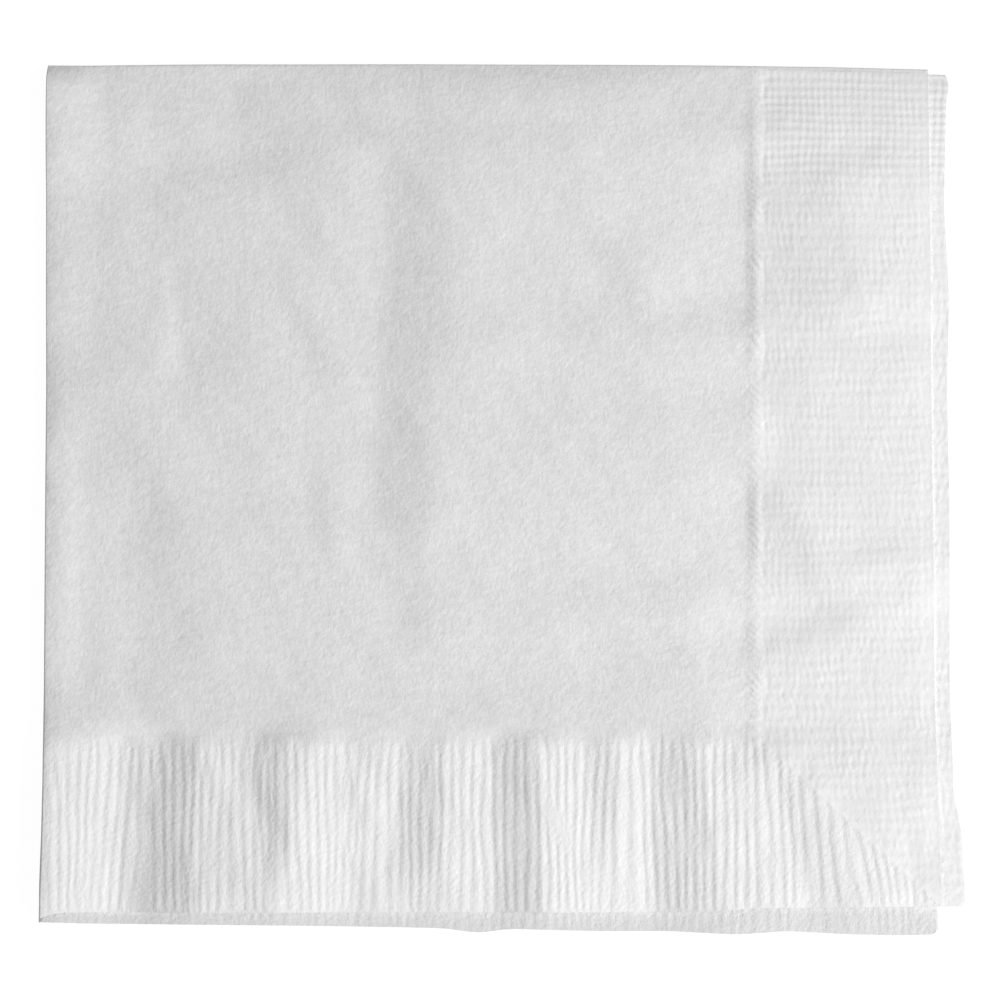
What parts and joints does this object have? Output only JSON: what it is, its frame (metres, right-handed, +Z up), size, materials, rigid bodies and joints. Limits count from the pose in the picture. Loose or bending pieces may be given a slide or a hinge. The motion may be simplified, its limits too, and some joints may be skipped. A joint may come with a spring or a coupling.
{
  "type": "paper napkin",
  "caption": "Folded two-ply paper napkin with a ribbed embossed border, lying flat as it is laid beside a drink or plate.",
  "frame": {"origin": "centre of the underside of the folded napkin, where it lies on the table", "axes": "+Z up through the leaves, +X from the closed left fold to the cut edges, +Y to the closed top fold"},
  "size_m": [0.1302, 0.1224, 0.0025],
  "materials": {
    "paper": "matte white tissue"
  },
  "bodies": {
    "root": {"napkin": "paper"}
  },
  "joints": []
}
